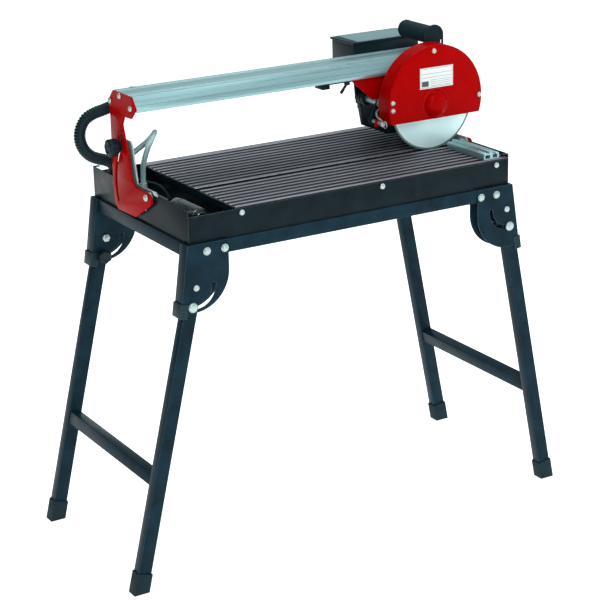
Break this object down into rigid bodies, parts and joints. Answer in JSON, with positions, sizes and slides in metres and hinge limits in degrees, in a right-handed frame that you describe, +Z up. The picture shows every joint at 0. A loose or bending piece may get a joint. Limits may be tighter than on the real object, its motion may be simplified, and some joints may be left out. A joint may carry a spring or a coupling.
{
  "type": "wet_bridge_tile_saw",
  "caption": "Wet tile saw with a folding stand: the cutting head slides on a tilting beam, lifts and locks, over a ribbed table in a water tray with a pump.",
  "frame": {"origin": "Middle of the four feet's footprint, on the floor.", "axes": "+X runs along the tray from the pump end to the blade end, +Y points away from the operator, +Z is up."},
  "size_m": [1.0188, 0.4386, 0.9915],
  "materials": {
    "frame_black": "satin",
    "table_grey": "satin",
    "saw_red": "gloss",
    "bare_aluminium": "satin",
    "zinc_steel": "satin",
    "blade_steel": "satin",
    "head_black": "satin",
    "black_plastic": "satin",
    "black_rubber": "matte",
    "pump_black": "gloss",
    "pale_lid": "satin",
    "clear_hose": "gloss",
    "label_silver": "satin"
  },
  "bodies": {
    "base": {"stand_frame": "frame_black", "leg_brackets": "frame_black", "bracket_bolts": "zinc_steel", "leg_pivot_bolts": "zinc_steel", "bracket_clips": "frame_black", "water_tray": "frame_black", "table_front": "table_grey", "table_back": "table_grey", "table_supports": "frame_black", "table_bolts": "zinc_steel", "fence_rails": "bare_aluminium", "tilt_brackets": "zinc_steel", "tilt_bolts": "zinc_steel", "water_pump": "pump_black", "pump_hose": "clear_hose", "cable_glands": "black_plastic"},
    "drain_stopper": {"drain_plug": "black_rubber"},
    "left_leg_pair": {"left_legs": "frame_black", "left_crossbar": "frame_black", "left_feet": "black_rubber", "left_lock_bolts": "zinc_steel"},
    "right_leg_pair": {"right_legs": "frame_black", "right_crossbar": "frame_black", "right_feet": "black_rubber", "right_lock_bolts": "zinc_steel"},
    "lock_knob_front_left": {"front_left_knob": "black_plastic"},
    "lock_knob_back_left": {"back_left_knob": "black_plastic"},
    "lock_knob_front_right": {"front_right_knob": "black_plastic"},
    "lock_knob_back_right": {"back_right_knob": "black_plastic"},
    "tilt_clamp_left": {"left_tilt_knob": "black_plastic"},
    "tilt_clamp_right": {"right_tilt_knob": "black_plastic"},
    "tilting_beam": {"left_arm": "saw_red", "right_arm": "saw_red", "beam": "bare_aluminium", "beam_bolts": "zinc_steel", "beam_gland": "black_plastic", "conduit": "black_plastic"},
    "carriage": {"carriage_base": "head_black", "carriage_plate": "saw_red", "carriage_axles": "zinc_steel", "plunge_pin": "zinc_steel"},
    "roller_pair_left": {"left_rollers": "zinc_steel"},
    "roller_pair_right": {"right_rollers": "zinc_steel"},
    "travel_lock": {"travel_lock_lever": "black_plastic"},
    "cutting_head": {"head_housing": "head_black", "motor_stator": "head_black", "motor_box": "black_plastic", "box_lid": "pale_lid", "guard_cover": "saw_red", "guard_back": "saw_red", "guard_bolts": "zinc_steel", "label_plate": "label_silver", "handle_bracket": "head_black", "handle_grip": "black_rubber", "pin_chain": "zinc_steel"},
    "rocker": {"switch_rocker": "black_plastic"},
    "head_lock_pin": {"lock_pin": "zinc_steel"},
    "blade_spindle": {"rotor_shaft": "zinc_steel", "blade": "blade_steel", "blade_flanges": "zinc_steel"}
  },
  "joints": [
    {"name": "left_legs_fold", "type": "hinge", "parent": "base", "child": "left_leg_pair", "pos_m": [-0.347, 0, 0.598], "axis": [0, -1, 0], "range_deg": [0, 103]},
    {"name": "right_legs_fold", "type": "hinge", "parent": "base", "child": "right_leg_pair", "pos_m": [0.373, 0, 0.631], "axis": [0, 1, 0], "range_deg": [0, 100.5]},
    {"name": "beam_tilt", "type": "hinge", "parent": "base", "child": "tilting_beam", "pos_m": [0.013, -0.053, 0.739], "axis": [1, 0, 0], "range_deg": [0, 45], "deforming": ["conduit"]},
    {"name": "head_travel", "type": "slide", "parent": "tilting_beam", "child": "carriage", "axis": [-1, 0, 0], "range_m": [0, 0.425]},
    {"name": "head_plunge", "type": "hinge", "parent": "carriage", "child": "cutting_head", "pos_m": [0.197, 0.02, 0.841], "axis": [0, 1, 0], "range_deg": [-14, 0]},
    {"name": "blade_spin", "type": "hinge", "parent": "cutting_head", "child": "blade_spindle", "pos_m": [0.297, -0.053, 0.836], "axis": [0, 1, 0], "continuous": true},
    {"name": "left_rollers_roll", "type": "hinge", "parent": "carriage", "child": "roller_pair_left", "pos_m": [0.103, 0.035, 0.9107], "axis": [0, -1, 0], "range_deg": [-10, 2600]},
    {"name": "right_rollers_roll", "type": "hinge", "parent": "carriage", "child": "roller_pair_right", "pos_m": [0.35, 0.035, 0.9107], "axis": [0, -1, 0], "range_deg": [-10, 2600]},
    {"name": "left_clamp_turn", "type": "hinge", "parent": "base", "child": "tilt_clamp_left", "pos_m": [-0.3633, 0.052, 0.81899], "axis": [-1, 0, 0], "range_deg": [0, 180]},
    {"name": "right_clamp_turn", "type": "hinge", "parent": "base", "child": "tilt_clamp_right", "pos_m": [0.3893, 0.052, 0.81899], "axis": [1, 0, 0], "range_deg": [0, 180]},
    {"name": "front_left_knob_turn", "type": "hinge", "parent": "left_leg_pair", "child": "lock_knob_front_left", "pos_m": [-0.35601, -0.175, 0.56108], "axis": [0, 1, 0], "range_deg": [0, 180]},
    {"name": "back_left_knob_turn", "type": "hinge", "parent": "left_leg_pair", "child": "lock_knob_back_left", "pos_m": [-0.35601, 0.175, 0.56108], "axis": [0, -1, 0], "range_deg": [0, 180]},
    {"name": "front_right_knob_turn", "type": "hinge", "parent": "right_leg_pair", "child": "lock_knob_front_right", "pos_m": [0.3801, -0.175, 0.59367], "axis": [0, 1, 0], "range_deg": [0, 180]},
    {"name": "back_right_knob_turn", "type": "hinge", "parent": "right_leg_pair", "child": "lock_knob_back_right", "pos_m": [0.3801, 0.175, 0.59367], "axis": [0, -1, 0], "range_deg": [0, 180]},
    {"name": "travel_lock_turn", "type": "hinge", "parent": "carriage", "child": "travel_lock", "pos_m": [0.127, 0.002, 0.888], "axis": [0, 0, -1], "range_deg": [0, 90]},
    {"name": "lock_pin_push", "type": "slide", "parent": "cutting_head", "child": "head_lock_pin", "axis": [0, 1, 0], "range_m": [0, 0.012]},
    {"name": "switch_rock", "type": "hinge", "parent": "cutting_head", "child": "rocker", "pos_m": [0.37, 0.143, 0.914], "axis": [0, 1, 0], "range_deg": [0, 18]},
    {"name": "drain_plug_pull", "type": "slide", "parent": "base", "child": "drain_stopper", "axis": [0, 0, 1], "range_m": [0, 0.03]}
  ],
  "couplings": [
    {"joint": "left_rollers_roll", "follows": "head_travel", "rad_per_m": 105.26},
    {"joint": "right_rollers_roll", "follows": "head_travel", "rad_per_m": 105.26}
  ]
}
